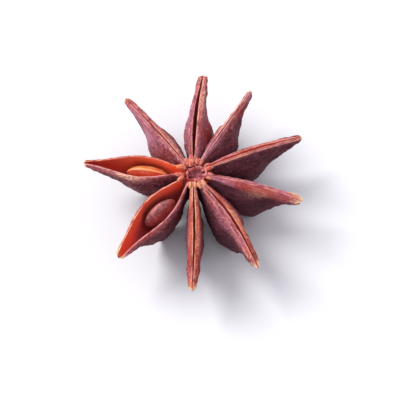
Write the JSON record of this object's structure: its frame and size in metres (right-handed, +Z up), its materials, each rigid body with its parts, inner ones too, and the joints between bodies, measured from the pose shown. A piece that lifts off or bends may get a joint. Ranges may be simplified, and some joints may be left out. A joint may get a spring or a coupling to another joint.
{
  "type": "star anise pod",
  "caption": "Whole dried star anise pod: boat-shaped carpels round a short column, two of them split open with a seed in each.",
  "frame": {"origin": "middle of the pod's outline, at the level of the keels it lies on", "axes": "+Z up, from the keels towards the open sutures; +X and +Y in the plane of the star, the longest carpels lying near +Y and -Y"},
  "size_m": [0.0318, 0.035, 0.0088],
  "materials": {
    "pod": "wrinkled, dull outside and glossy inside",
    "seed": "polished"
  },
  "bodies": {
    "root": {"pod": "pod", "seed_front": "seed", "seed_left": "seed"}
  },
  "joints": []
}
